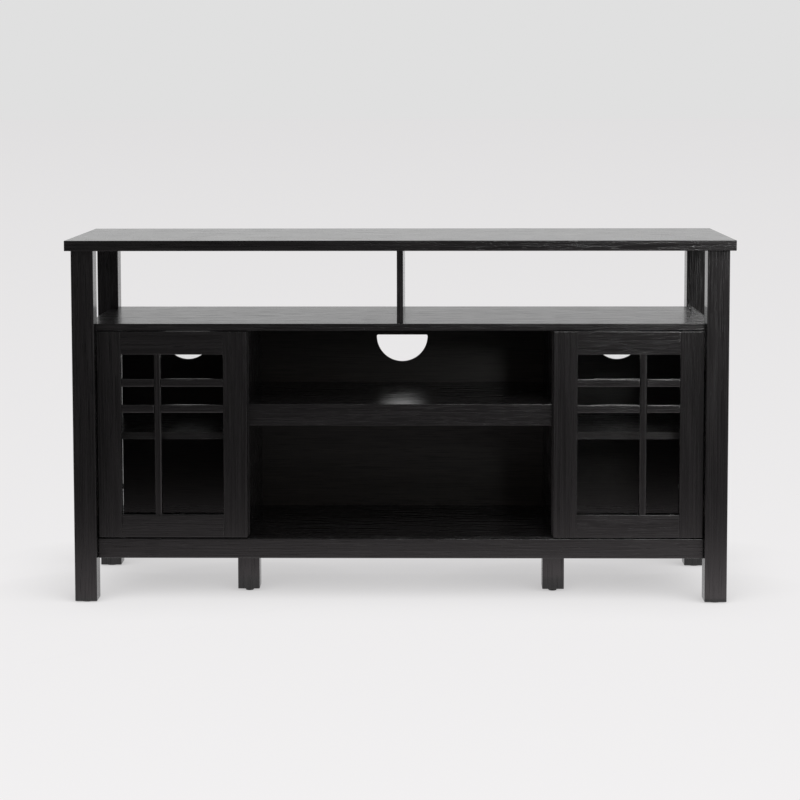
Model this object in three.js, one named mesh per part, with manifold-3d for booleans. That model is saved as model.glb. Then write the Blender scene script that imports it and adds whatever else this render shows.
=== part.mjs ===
// Media cabinet. An open bay for players stands over a carcass of three compartments: an open
// one in the middle and one behind a glazed door at each end.
// Millimetres. +X is to the right, +Y to the back, +Z up, as seen by a person in front of it.
// The origin is on the floor, under the middle of the cabinet.
import * as THREE from 'three';
import { mergeVertices } from 'three/addons/utils/BufferGeometryUtils.js';
import Module from 'manifold-3d';

const wasm = await Module();
wasm.setup();

// ---- Driving dimensions ---------------------------------------------------------------------

const WIDTH = 1321;
const DEPTH = 406;
const HEIGHT = 725;
const TOP_THICKNESS = 20.5;
const TOP_OVERHANG_SIDE = 11;
const TOP_OVERHANG_ENDS = 12;
const LEG = 44;

const BOARD = 15;
const SIDE_THICKNESS = 18;
const BACK_THICKNESS = 4;
const BACK_PANEL_GAP = 0.5;
const FACE_THICKNESS = 18;
const FACE_RECESS = 22;

const GLIDE_HEIGHT = 2.5;
const GLIDE_RADIUS = 15;
const GLIDE_EDGE = 1.5;
const GLIDE_EDGE_CUT = 0.3;

const DISPLAY_SHELF_TOP = 557.5;
const DISPLAY_SHELF_THICKNESS = 13.5;
const DIVIDER_THICKNESS = 12.5;
const DIVIDER_SETBACK_FRONT = 4;
const DIVIDER_SETBACK_BACK = 6;
const CARCASS_BOTTOM = 85.5;
const RAIL_HEIGHT = 40;
const PARTITION_INNER = 303;

const CENTRE_SHELF_TOP = 394;
const CENTRE_RAIL_HEIGHT = 43;
const SIDE_SHELF_TOP = 332.5;
const SIDE_SHELF_SETBACK = 88;
const SIDE_SHELF_BACK_GAP = 2;
const SHELF_CLEARANCE = 0.5;

const CUTOUT_TOP = 497;
const CUTOUT_CORNER = 3;
const CENTRE_CUTOUT_RADIUS = 54.5;
const SIDE_CUTOUT_RADIUS = 50;

const SUPPORT_LEG_X = 310;
const SUPPORT_LEG_SETBACK = 96;
const SUPPORT_LEG_BOTTOM = 6.5;
const STUD_RADIUS = 4;
const STUD_LENGTH = 28;
const STUD_CHAMFER = 1;
const STUD_HOLE_RADIUS = 4.4;
const STUD_HOLE_DEPTH = 36;
const PAD_RADIUS = 8.5;
const PAD_HEIGHT = 5;
const PAD_FLOOR = 2;
const PAD_CHAMFER = 1;
const PAD_SHOULDER = 2;
const PAD_SHOULDER_CUT = 0.6;

const DOOR_GAP = 2;
const DOOR_GAP_BOTTOM = 2.5;
const DOOR_WIDTH = 298;
const DOOR_PROUD = 2;
const DOOR_THICKNESS = 18;
const STILE = 47;
const DOOR_RAIL = 46;
const TENON_LENGTH = 10;
const TENON_THICKNESS = 6;
const TENON_SHOULDER = 8;
const JOINT_GAP = 0.3;
const REBATE_WIDTH = 6;
const REBATE_START = 11;
const GLASS_THICKNESS = 4;
const BAR_SETBACK = 1.5;
const BAR_DEPTH = 9;
const BAR_CHAMFER = 2.5;
const MULLION_WIDTH = 14;
const MULLION_OFFSET = 66;
const MUNTIN_HEIGHT = 16;
const MUNTIN_CENTRES = { upper_muntin: 311, lower_muntin: 259 };

const PIVOT_INSET = 17;
const PIVOT_DEPTH = 7.5;
const HINGE_HEIGHTS = { lower: 60, upper: 354 };
const CUP_INSET = 21.5;
const POCKET_RADIUS = 17.5;
const POCKET_BOTTOM = 4.1;
const CUP_RADIUS = 17.2;
const CUP_WALL = 0.8;
const CUP_FLANGE_RADIUS = 20.5;
const CUP_FLANGE_THICKNESS = 1.2;
const CUP_FLANGE_GAP = 0.1;
const CUP_EAR_WIDTH = 15;
const CUP_EAR_REACH = 29;
const CUP_MOUTH_CUT = 4;
const PIN_RADIUS = 1.25;
const PIN_BORE_RADIUS = 1.35;
const PIN_LENGTH = 32.4;
const EYE_RADIUS = 1.9;

// The arm's own dimensions run from the pin: along the door's width and towards the back.
const ARM_HEIGHT = 9;
const ARM_THICKNESS = 2.5;
const ARM_LEAVE_ANGLE = 34;
const ARM_LEAVE_LENGTH = 24;
const ARM_BEND = 16;
const ARM_CROSSING = 24;
const ARM_BODY_DEPTH = 10;
const ARM_BODY_HALF_HEIGHT = 6;
const ARM_BODY_END = 62;
const ARM_WELD = 1;
const PLATE_THICKNESS = 2.5;
const PLATE_START = 20;
const PLATE_END = 64;
const PLATE_HALF_HEIGHT = 22;
const PLATE_WELD = 0.5;

const CATCH = { width: 15, depth: 44, height: 40, centre: 493 };
const STRIKE = { width: 12, height: 36, thickness: 1.2 };

// How far a cutting tool runs past the solid it cuts, and how round the turned parts are.
const OVERCUT = 1;
const SMALL_SEGMENTS = 24;
const TURNED_SEGMENTS = 32;
const CUP_SEGMENTS = 40;

// ---- Planes worked out from the dimensions --------------------------------------------------

const SIDES = [{ side: -1, label: 'left' }, { side: 1, label: 'right' }];

const front = -DEPTH / 2;
const back = DEPTH / 2;
const legOuter = WIDTH / 2 - TOP_OVERHANG_SIDE;
const legInner = legOuter - LEG;
const legFront = front + TOP_OVERHANG_ENDS;
const legBack = back - TOP_OVERHANG_ENDS;
const topUnderside = HEIGHT - TOP_THICKNESS;

const faceFront = legFront + FACE_RECESS;
const faceBack = faceFront + FACE_THICKNESS;
const backPanelFront = legBack - BACK_THICKNESS;

const displayShelfUnderside = DISPLAY_SHELF_TOP - DISPLAY_SHELF_THICKNESS;
const floorTop = CARCASS_BOTTOM + RAIL_HEIGHT;
const floorBottom = floorTop - BOARD;
const partitionOuter = PARTITION_INNER + BOARD;
const sideBayCentre = (partitionOuter + legInner) / 2;

const doorOuter = legInner - DOOR_GAP;
const doorInner = doorOuter - DOOR_WIDTH;
const doorFront = faceFront - DOOR_PROUD;
const doorBack = doorFront + DOOR_THICKNESS;
const doorBottom = floorTop + DOOR_GAP_BOTTOM;
const doorTop = displayShelfUnderside - DOOR_GAP;
const doorHeight = doorTop - doorBottom;

// ---- Finishes -------------------------------------------------------------------------------

const FINISHES = {
  blackWood: { color: 0x242322, roughness: 0.42, metalness: 0 },
  darkPanel: { color: 0x1d1a18, roughness: 0.5, metalness: 0 },
  glass: { color: 0xdfe6e4, roughness: 0.04, metalness: 0, transparent: true, opacity: 0.3 },
  nickel: { color: 0xb9b6af, roughness: 0.3, metalness: 1 },
  zinc: { color: 0x9fa1a3, roughness: 0.4, metalness: 1 },
  blackPlastic: { color: 0x151515, roughness: 0.55, metalness: 0 },
};

const cabinet = new THREE.Group();
cabinet.name = 'media_cabinet';

function addPiece(parent, name, geometry, finish) {
  const piece = new THREE.Mesh(geometry, new THREE.MeshStandardMaterial(FINISHES[finish]));
  piece.name = name;
  parent.add(piece);
  return piece;
}

// ---- Solid helpers --------------------------------------------------------------------------

// A box between three [low, high] ranges, in its parent's frame.
function block([x0, x1], [y0, y1], [z0, z1]) {
  const geometry = new THREE.BoxGeometry(x1 - x0, y1 - y0, z1 - z0);
  return geometry.translate((x0 + x1) / 2, (y0 + y1) / 2, (z0 + z1) / 2);
}

// A box-shaped board, placed by its centre.
function addBoard(parent, name, [x0, x1], [y0, y1], [z0, z1], finish = 'blackWood') {
  const board = addPiece(parent, name, new THREE.BoxGeometry(x1 - x0, y1 - y0, z1 - z0), finish);
  board.position.set((x0 + x1) / 2, (y0 + y1) / 2, (z0 + z1) / 2);
  return board;
}

// The range between two distances from the middle plane, on the left (-1) or right (1) side.
function sideRange(side, near, far) {
  return side > 0 ? [near, far] : [-far, -near];
}

function rod(radius, length) {
  return new THREE.CylinderGeometry(radius, radius, length, SMALL_SEGMENTS)
    .rotateX(Math.PI / 2);
}

function toSolid(geometry) {
  const bare = geometry.clone();
  bare.deleteAttribute('normal');
  bare.deleteAttribute('uv');
  const merged = mergeVertices(bare);
  return new wasm.Manifold(new wasm.Mesh({
    numProp: 3,
    vertProperties: new Float32Array(merged.attributes.position.array),
    triVerts: new Uint32Array(merged.index.array),
  }));
}

function toGeometry(solid) {
  const mesh = solid.getMesh();
  const geometry = new THREE.BufferGeometry();
  geometry.setAttribute('position', new THREE.BufferAttribute(mesh.vertProperties, 3));
  geometry.setIndex(new THREE.BufferAttribute(mesh.triVerts, 1));
  geometry.computeVertexNormals();
  return geometry;
}

function join(...geometries) {
  return geometries.map(toSolid).reduce((whole, solid) => whole.add(solid));
}

function cut(solid, ...geometries) {
  return geometries.map(toSolid).reduce((rest, tool) => rest.subtract(tool), solid);
}

// ---- Top, legs and display shelf ------------------------------------------------------------

function addTop() {
  addBoard(cabinet, 'top_panel', [-WIDTH / 2, WIDTH / 2], [front, back], [topUnderside, HEIGHT]);
}

// A glide: a shallow disc whose lower edge is rounded so that it slides over a carpet.
function glideGeometry() {
  const cutBack = GLIDE_EDGE * GLIDE_EDGE_CUT;
  const profile = [
    new THREE.Vector2(0, 0),
    new THREE.Vector2(GLIDE_RADIUS - GLIDE_EDGE, 0),
    new THREE.Vector2(GLIDE_RADIUS - cutBack, cutBack),
    new THREE.Vector2(GLIDE_RADIUS, GLIDE_EDGE),
    new THREE.Vector2(GLIDE_RADIUS, GLIDE_HEIGHT),
    new THREE.Vector2(0, GLIDE_HEIGHT),
  ];
  return new THREE.LatheGeometry(profile, TURNED_SEGMENTS).rotateX(Math.PI / 2);
}

function addCornerLegs() {
  const rows = [
    { row: 'front', y: [legFront, legFront + LEG] },
    { row: 'back', y: [legBack - LEG, legBack] },
  ];
  for (const { side, label } of SIDES) {
    for (const { row, y } of rows) {
      const x = sideRange(side, legInner, legOuter);
      addBoard(cabinet, `leg_${row}_${label}`, x, y, [GLIDE_HEIGHT, topUnderside]);
      const glide = addPiece(cabinet, `glide_${row}_${label}`, glideGeometry(), 'blackPlastic');
      glide.position.set((x[0] + x[1]) / 2, (y[0] + y[1]) / 2, 0);
    }
  }
}

// The display shelf is notched round the four legs and covers the side panels' top edges.
function addDisplayShelf() {
  const reach = legInner + SIDE_THICKNESS;
  const notchFront = legFront + LEG + SHELF_CLEARANCE;
  const notchBack = legBack - LEG - SHELF_CLEARANCE;
  const outline = new THREE.Shape();
  outline.moveTo(-legInner, faceFront);
  outline.lineTo(legInner, faceFront);
  outline.lineTo(legInner, notchFront);
  outline.lineTo(reach, notchFront);
  outline.lineTo(reach, notchBack);
  outline.lineTo(legInner, notchBack);
  outline.lineTo(legInner, legBack);
  outline.lineTo(-legInner, legBack);
  outline.lineTo(-legInner, notchBack);
  outline.lineTo(-reach, notchBack);
  outline.lineTo(-reach, notchFront);
  outline.lineTo(-legInner, notchFront);
  outline.closePath();
  const options = { depth: DISPLAY_SHELF_THICKNESS, bevelEnabled: false };
  const shelf = addPiece(cabinet, 'display_shelf', new THREE.ExtrudeGeometry(outline, options),
    'blackWood');
  shelf.position.z = displayShelfUnderside;
}

function addBayDivider() {
  addBoard(cabinet, 'bay_divider', [-DIVIDER_THICKNESS / 2, DIVIDER_THICKNESS / 2],
    [faceFront + DIVIDER_SETBACK_FRONT, legBack - DIVIDER_SETBACK_BACK],
    [DISPLAY_SHELF_TOP, topUnderside]);
}

// ---- Carcass --------------------------------------------------------------------------------

function addCarcass() {
  const full = [-legInner, legInner];
  addBoard(cabinet, 'bottom_panel', full, [faceBack, backPanelFront], [floorBottom, floorTop]);
  addBoard(cabinet, 'front_rail', full, [faceFront, faceBack], [CARCASS_BOTTOM, floorTop]);
  for (const { side, label } of SIDES) {
    addBoard(cabinet, `side_panel_${label}`,
      sideRange(side, legInner, legInner + SIDE_THICKNESS),
      [legFront + LEG, legBack - LEG], [CARCASS_BOTTOM, displayShelfUnderside]);
    addBoard(cabinet, `partition_${label}`,
      sideRange(side, PARTITION_INNER, partitionOuter),
      [faceBack, backPanelFront], [floorTop, displayShelfUnderside]);
  }
}

// A cable cut-out: the lower half of a circle under a flat top with rounded corners.
function cutoutPath(centreX, radius) {
  const centreZ = CUTOUT_TOP - CUTOUT_CORNER;
  const cornerX = radius - CUTOUT_CORNER;
  const path = new THREE.Path();
  path.absarc(centreX, centreZ, radius, Math.PI, 2 * Math.PI, false);
  path.absarc(centreX + cornerX, centreZ, CUTOUT_CORNER, 0, Math.PI / 2, false);
  path.absarc(centreX - cornerX, centreZ, CUTOUT_CORNER, Math.PI / 2, Math.PI, false);
  return path;
}

function addBackPanel(name, x0, x1, cutoutX, cutoutRadius) {
  const outline = new THREE.Shape();
  outline.moveTo(x0, floorBottom);
  outline.lineTo(x1, floorBottom);
  outline.lineTo(x1, displayShelfUnderside);
  outline.lineTo(x0, displayShelfUnderside);
  outline.closePath();
  outline.holes.push(cutoutPath(cutoutX, cutoutRadius));
  const options = { depth: BACK_THICKNESS, bevelEnabled: false, curveSegments: SMALL_SEGMENTS };
  const panel = addPiece(cabinet, name, new THREE.ExtrudeGeometry(outline, options), 'darkPanel');
  panel.rotation.x = Math.PI / 2;
  panel.position.y = legBack;
}

function addBackPanels() {
  const seam = PARTITION_INNER + BOARD / 2;
  const half = seam - BACK_PANEL_GAP;
  addBackPanel('back_panel_centre', -half, half, 0, CENTRE_CUTOUT_RADIUS);
  for (const { side, label } of SIDES) {
    const [x0, x1] = sideRange(side, seam + BACK_PANEL_GAP, legInner - BACK_PANEL_GAP);
    addBackPanel(`back_panel_${label}`, x0, x1, side * sideBayCentre, SIDE_CUTOUT_RADIUS);
  }
}

function addShelves() {
  const centre = [-PARTITION_INNER, PARTITION_INNER];
  const railBack = faceBack + FACE_THICKNESS;
  addBoard(cabinet, 'centre_shelf', centre, [railBack, backPanelFront],
    [CENTRE_SHELF_TOP - BOARD, CENTRE_SHELF_TOP]);
  addBoard(cabinet, 'centre_shelf_rail', centre, [faceBack, railBack],
    [CENTRE_SHELF_TOP - CENTRE_RAIL_HEIGHT, CENTRE_SHELF_TOP]);
  for (const { side, label } of SIDES) {
    addBoard(cabinet, `side_shelf_${label}`,
      sideRange(side, partitionOuter + SHELF_CLEARANCE, legInner - SHELF_CLEARANCE),
      [front + SIDE_SHELF_SETBACK, backPanelFront - SIDE_SHELF_BACK_GAP],
      [SIDE_SHELF_TOP - BOARD, SIDE_SHELF_TOP]);
  }
}

// ---- Middle supports and their levellers ----------------------------------------------------

function padGeometry() {
  const socket = STUD_RADIUS + JOINT_GAP;
  const profile = [
    new THREE.Vector2(0, 0),
    new THREE.Vector2(PAD_RADIUS - PAD_CHAMFER, 0),
    new THREE.Vector2(PAD_RADIUS, PAD_CHAMFER),
    new THREE.Vector2(PAD_RADIUS, PAD_HEIGHT - PAD_SHOULDER),
    new THREE.Vector2(PAD_RADIUS - PAD_SHOULDER_CUT, PAD_HEIGHT - PAD_SHOULDER_CUT),
    new THREE.Vector2(PAD_RADIUS - PAD_SHOULDER, PAD_HEIGHT),
    new THREE.Vector2(socket, PAD_HEIGHT),
    new THREE.Vector2(socket, PAD_FLOOR),
    new THREE.Vector2(0, PAD_FLOOR),
  ];
  return new THREE.LatheGeometry(profile, TURNED_SEGMENTS).rotateX(Math.PI / 2);
}

// The threaded stud, plain here, with a chamfered upper end.
function studGeometry() {
  const start = PAD_FLOOR + JOINT_GAP;
  const profile = [
    new THREE.Vector2(0, start),
    new THREE.Vector2(STUD_RADIUS, start),
    new THREE.Vector2(STUD_RADIUS, start + STUD_LENGTH - STUD_CHAMFER),
    new THREE.Vector2(STUD_RADIUS - STUD_CHAMFER, start + STUD_LENGTH),
    new THREE.Vector2(0, start + STUD_LENGTH),
  ];
  return new THREE.LatheGeometry(profile, SMALL_SEGMENTS).rotateX(Math.PI / 2);
}

function addMiddleSupports() {
  const y = [legFront + SUPPORT_LEG_SETBACK, legFront + SUPPORT_LEG_SETBACK + LEG];
  const centreY = (y[0] + y[1]) / 2;
  for (const { side, label } of SIDES) {
    const place = new THREE.Group();
    place.position.set(side * SUPPORT_LEG_X, centreY, 0);
    cabinet.add(place);

    const half = [-LEG / 2, LEG / 2];
    const hole = rod(STUD_HOLE_RADIUS, STUD_HOLE_DEPTH * 2).translate(0, 0, SUPPORT_LEG_BOTTOM);
    const leg = cut(toSolid(block(half, half, [SUPPORT_LEG_BOTTOM, floorBottom])), hole);
    addPiece(place, `support_leg_${label}`, toGeometry(leg), 'blackWood');
    addPiece(place, `leveller_stud_${label}`, studGeometry(), 'zinc');
    addPiece(place, `leveller_pad_${label}`, padGeometry(), 'blackPlastic');
  }
}

// ---- Doors ----------------------------------------------------------------------------------
// A door is built in its own group. The group's origin is the lower front corner at the hinge
// edge; across() measures towards the free edge, y towards the back and z up.

const tenonFront = (REBATE_START - TENON_THICKNESS) / 2;
const tenonHeights = [
  [TENON_SHOULDER, DOOR_RAIL - TENON_SHOULDER],
  [doorHeight - DOOR_RAIL + TENON_SHOULDER, doorHeight - TENON_SHOULDER],
];

function across(side, from, to) {
  return sideRange(-side, from, to);
}

function stileSolid(side, from, hinged) {
  const to = from + STILE;
  const inner = hinged ? to : from;
  const inward = hinged ? -1 : 1;
  const ordered = (a, b) => across(side, Math.min(a, b), Math.max(a, b));
  const mortiseX = ordered(inner, inner + inward * (TENON_LENGTH + JOINT_GAP));
  const mortiseY = [tenonFront - JOINT_GAP, tenonFront + TENON_THICKNESS + JOINT_GAP];
  const tools = [
    block(ordered(inner, inner + inward * REBATE_WIDTH),
      [REBATE_START, DOOR_THICKNESS + OVERCUT],
      [DOOR_RAIL - REBATE_WIDTH, doorHeight - DOOR_RAIL + REBATE_WIDTH]),
    ...tenonHeights.map(([z0, z1]) => block(mortiseX, mortiseY,
      [z0 - JOINT_GAP, z1 + JOINT_GAP])),
  ];
  if (hinged) {
    for (const height of Object.values(HINGE_HEIGHTS)) {
      tools.push(pocketTool().translate(-side * CUP_INSET, POCKET_BOTTOM, height));
    }
  }
  return cut(toSolid(block(across(side, from, to), [0, DOOR_THICKNESS], [0, doorHeight])), ...tools);
}

function pocketTool() {
  const length = DOOR_THICKNESS;
  return new THREE.CylinderGeometry(POCKET_RADIUS, POCKET_RADIUS, length, CUP_SEGMENTS)
    .translate(0, length / 2, 0);
}

function railSolid(side, index) {
  const z = index === 0 ? [0, DOOR_RAIL] : [doorHeight - DOOR_RAIL, doorHeight];
  const rebateZ = index === 0
    ? [DOOR_RAIL - REBATE_WIDTH, DOOR_RAIL + OVERCUT]
    : [doorHeight - DOOR_RAIL - OVERCUT, doorHeight - DOOR_RAIL + REBATE_WIDTH];
  const freeStile = DOOR_WIDTH - STILE;
  const body = block(across(side, STILE, freeStile), [0, DOOR_THICKNESS], z);
  const tenon = block(across(side, STILE - TENON_LENGTH, freeStile + TENON_LENGTH),
    [tenonFront, tenonFront + TENON_THICKNESS], tenonHeights[index]);
  const rebate = block(across(side, STILE - OVERCUT, freeStile + OVERCUT),
    [REBATE_START, DOOR_THICKNESS + OVERCUT], rebateZ);
  return cut(join(body, tenon), rebate);
}

// The section of a glazing bar, centred across its width, with its two front edges chamfered.
function barShape(width) {
  const half = width / 2;
  const shape = new THREE.Shape();
  shape.moveTo(-half, BAR_DEPTH);
  shape.lineTo(-half, BAR_CHAMFER);
  shape.lineTo(-half + BAR_CHAMFER, 0);
  shape.lineTo(half - BAR_CHAMFER, 0);
  shape.lineTo(half, BAR_CHAMFER);
  shape.lineTo(half, BAR_DEPTH);
  shape.closePath();
  return shape;
}

// The bars cross in half-laps: the mullion keeps its front half there, the muntins their back.
function addGlazingBars(door, side, label) {
  const lapDepth = BAR_SETBACK + BAR_DEPTH / 2;
  const lapClearance = JOINT_GAP / 2;
  const mullionCentre = STILE + MULLION_OFFSET + MULLION_WIDTH / 2;
  const mullionLength = doorHeight - 2 * DOOR_RAIL;
  const mullion = new THREE.ExtrudeGeometry(barShape(MULLION_WIDTH),
    { depth: mullionLength, bevelEnabled: false })
    .translate(-side * mullionCentre, BAR_SETBACK, DOOR_RAIL);
  const mullionReach = MULLION_WIDTH / 2 + lapClearance;
  const muntinReach = MUNTIN_HEIGHT / 2 + lapClearance;
  const mullionSpan = across(side, mullionCentre - mullionReach, mullionCentre + mullionReach);
  const wide = across(side, STILE, DOOR_WIDTH - STILE);
  const laps = Object.values(MUNTIN_CENTRES).map((z) => block(wide,
    [lapDepth, DOOR_THICKNESS], [z - muntinReach, z + muntinReach]));
  addPiece(door, `${label}_door_mullion`, toGeometry(cut(toSolid(mullion), ...laps)), 'blackWood');

  for (const [name, z] of Object.entries(MUNTIN_CENTRES)) {
    const bar = new THREE.ExtrudeGeometry(barShape(MUNTIN_HEIGHT),
      { depth: wide[1] - wide[0], bevelEnabled: false })
      .rotateY(Math.PI / 2)
      .translate(wide[0], BAR_SETBACK, z);
    const lap = block(mullionSpan, [-OVERCUT, lapDepth + lapClearance],
      [z - MUNTIN_HEIGHT, z + MUNTIN_HEIGHT]);
    addPiece(door, `${label}_door_${name}`, toGeometry(cut(toSolid(bar), lap)), 'blackWood');
  }
}

function addGlass(door, side, label) {
  const inset = STILE - REBATE_WIDTH + SHELF_CLEARANCE;
  const low = DOOR_RAIL - REBATE_WIDTH + SHELF_CLEARANCE;
  addBoard(door, `${label}_door_glass`, across(side, inset, DOOR_WIDTH - inset),
    [REBATE_START, REBATE_START + GLASS_THICKNESS], [low, doorHeight - low], 'glass');
}

// A hinge cup: a flanged steel cup that fills the stile's pocket, cross-drilled for the pin.
function addHingeCup(door, side, name, height) {
  const bottom = POCKET_BOTTOM + JOINT_GAP;
  const rim = DOOR_THICKNESS + CUP_FLANGE_GAP;
  const top = rim + CUP_FLANGE_THICKNESS;
  const hollow = CUP_RADIUS - CUP_WALL;
  const profile = [
    new THREE.Vector2(0, bottom),
    new THREE.Vector2(CUP_RADIUS, bottom),
    new THREE.Vector2(CUP_RADIUS, rim),
    new THREE.Vector2(CUP_FLANGE_RADIUS, rim),
    new THREE.Vector2(CUP_FLANGE_RADIUS, top),
    new THREE.Vector2(hollow, top),
    new THREE.Vector2(hollow, bottom + CUP_WALL),
    new THREE.Vector2(0, bottom + CUP_WALL),
  ];
  const cup = new THREE.LatheGeometry(profile, CUP_SEGMENTS);
  const ears = block([-CUP_EAR_WIDTH / 2, CUP_EAR_WIDTH / 2], [rim, top],
    [-CUP_EAR_REACH, CUP_EAR_REACH]);
  const mouth = new THREE.CylinderGeometry(hollow, hollow, CUP_MOUTH_CUT, CUP_SEGMENTS)
    .translate(0, top, 0);
  const bore = rod(PIN_BORE_RADIUS, 2 * CUP_FLANGE_RADIUS)
    .translate(side * (CUP_INSET - PIVOT_INSET), PIVOT_DEPTH, 0);
  const solid = cut(toSolid(cup).add(cut(toSolid(ears), mouth)), bore);
  const piece = addPiece(door, name, toGeometry(solid), 'nickel');
  piece.position.set(-side * CUP_INSET, 0, height);
}

function addStrikePlate(door, side, label) {
  const centre = doorOuter - partitionOuter - CATCH.width / 2;
  const height = CATCH.centre - doorBottom;
  addBoard(door, `${label}_door_strike_plate`,
    across(side, centre - STRIKE.width / 2, centre + STRIKE.width / 2),
    [DOOR_THICKNESS, DOOR_THICKNESS + STRIKE.thickness],
    [height - STRIKE.height / 2, height + STRIKE.height / 2], 'nickel');
}

function addDoor(side, label) {
  const door = new THREE.Group();
  door.position.set(side * doorOuter, doorFront, doorBottom);
  cabinet.add(door);
  addPiece(door, `${label}_door_hinge_stile`, toGeometry(stileSolid(side, 0, true)), 'blackWood');
  addPiece(door, `${label}_door_free_stile`,
    toGeometry(stileSolid(side, DOOR_WIDTH - STILE, false)), 'blackWood');
  addPiece(door, `${label}_door_lower_rail`, toGeometry(railSolid(side, 0)), 'blackWood');
  addPiece(door, `${label}_door_upper_rail`, toGeometry(railSolid(side, 1)), 'blackWood');
  addGlazingBars(door, side, label);
  addGlass(door, side, label);
  for (const [level, height] of Object.entries(HINGE_HEIGHTS)) {
    addHingeCup(door, side, `${label}_door_hinge_cup_${level}`, height);
  }
  addStrikePlate(door, side, label);
}

// ---- Hinge arms and catches, fixed to the carcass -------------------------------------------

// The outline of a strip of one thickness along a polyline, with mitred bends.
function stripShape(points, thickness) {
  const half = thickness / 2;
  const normals = points.slice(1).map((point, i) => {
    const along = point.clone().sub(points[i]).normalize();
    return new THREE.Vector2(-along.y, along.x);
  });
  const offset = (point, i) => {
    const before = normals[Math.max(i - 1, 0)];
    const after = normals[Math.min(i, normals.length - 1)];
    const mitre = before.clone().add(after);
    return mitre.multiplyScalar(2 * half / mitre.lengthSq());
  };
  const left = points.map((point, i) => point.clone().add(offset(point, i)));
  const right = points.map((point, i) => point.clone().sub(offset(point, i)));
  return new THREE.Shape([...left, ...right.reverse()]);
}

// A cranked arm: its eye and pin sit in the cup, its strip clears the swinging door's edge, and
// its body is fixed to the side panel through a plate. The origin is on the pin's axis.
function armGeometry(side) {
  const panel = PIVOT_INSET + DOOR_GAP;
  const bodyInner = panel - ARM_BODY_DEPTH;
  const leave = THREE.MathUtils.degToRad(ARM_LEAVE_ANGLE);
  const route = [
    [0, 0],
    [-ARM_LEAVE_LENGTH * Math.cos(leave), ARM_LEAVE_LENGTH * Math.sin(leave)],
    [-ARM_BEND, ARM_CROSSING],
    [bodyInner + ARM_WELD, ARM_CROSSING],
  ].map(([x, y]) => new THREE.Vector2(side * x, y));
  const strip = new THREE.ExtrudeGeometry(stripShape(route, ARM_THICKNESS),
    { depth: ARM_HEIGHT, bevelEnabled: false }).translate(0, 0, -ARM_HEIGHT / 2);
  const bodyX = sideRange(side, bodyInner, panel - PLATE_THICKNESS + PLATE_WELD);
  const bodyY = [ARM_CROSSING - ARM_THICKNESS / 2, ARM_BODY_END];
  const plateX = sideRange(side, panel - PLATE_THICKNESS, panel);
  return toGeometry(join(
    strip,
    rod(EYE_RADIUS, ARM_HEIGHT),
    rod(PIN_RADIUS, PIN_LENGTH),
    block(bodyX, bodyY, [-ARM_BODY_HALF_HEIGHT, ARM_BODY_HALF_HEIGHT]),
    block(plateX, [PLATE_START, PLATE_END], [-PLATE_HALF_HEIGHT, PLATE_HALF_HEIGHT]),
  ));
}

function addHingeArms() {
  for (const { side, label } of SIDES) {
    for (const [level, height] of Object.entries(HINGE_HEIGHTS)) {
      const arm = addPiece(cabinet, `hinge_arm_${label}_${level}`, armGeometry(side), 'nickel');
      arm.position.set(side * (doorOuter - PIVOT_INSET), doorFront + PIVOT_DEPTH,
        doorBottom + height);
    }
  }
}

function addCatches() {
  const catchFront = doorBack + STRIKE.thickness + JOINT_GAP;
  for (const { side, label } of SIDES) {
    addBoard(cabinet, `magnetic_catch_${label}`,
      sideRange(side, partitionOuter, partitionOuter + CATCH.width),
      [catchFront, catchFront + CATCH.depth],
      [CATCH.centre - CATCH.height / 2, CATCH.centre + CATCH.height / 2], 'blackPlastic');
  }
}

addTop();
addCornerLegs();
addDisplayShelf();
addBayDivider();
addCarcass();
addBackPanels();
addShelves();
addMiddleSupports();
for (const { side, label } of SIDES) {
  addDoor(side, label);
}
addHingeArms();
addCatches();

export default cabinet;
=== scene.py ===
import math
import random

import bmesh
import bpy
from mathutils import Matrix, Vector


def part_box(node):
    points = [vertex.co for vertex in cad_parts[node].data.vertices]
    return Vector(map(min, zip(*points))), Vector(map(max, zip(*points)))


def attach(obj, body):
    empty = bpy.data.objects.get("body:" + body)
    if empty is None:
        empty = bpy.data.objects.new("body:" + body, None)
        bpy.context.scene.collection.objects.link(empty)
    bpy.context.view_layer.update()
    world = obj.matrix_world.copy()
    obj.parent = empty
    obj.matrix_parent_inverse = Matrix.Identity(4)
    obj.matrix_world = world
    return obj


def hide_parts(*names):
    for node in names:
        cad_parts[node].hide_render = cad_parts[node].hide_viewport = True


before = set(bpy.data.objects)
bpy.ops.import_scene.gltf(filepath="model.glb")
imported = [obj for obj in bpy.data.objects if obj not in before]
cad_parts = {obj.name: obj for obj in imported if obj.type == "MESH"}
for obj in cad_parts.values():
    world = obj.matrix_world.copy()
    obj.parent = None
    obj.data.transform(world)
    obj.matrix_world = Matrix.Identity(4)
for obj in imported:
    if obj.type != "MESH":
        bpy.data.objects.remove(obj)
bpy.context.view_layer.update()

MM = 0.001
SIDES = {"left": -1, "right": 1}
LEVELS = ("lower", "upper")
BAYS = ("left", "centre", "right")
BOTH_WAYS = (-1, 1)
X, Y, Z = 0, 1, 2
BACK, UP, DOWN = (0, 1, 0), (0, 0, 1), (0, 0, -1)
WHITE = (1.0, 1.0, 1.0, 1.0)

# Meshes: what counts as one point, as a flat face, as an outside corner and as a crease.
WELD_DISTANCE = 0.01 * MM
FLAT = math.radians(0.5)
SHARP = math.radians(25)
STAYS_SHARP = math.radians(40)
ON_AXIS = 1e-9
FULL_AREA_WEIGHT = 100

SEED = 52
GRAIN_START_RANGE = 8.0

random.seed(SEED)


# ---- Node trees ------------------------------------------------------------------------------

def new_material(name):
    material = bpy.data.materials.new(name)
    material.use_nodes = True
    material.node_tree.nodes.clear()
    return material


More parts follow.
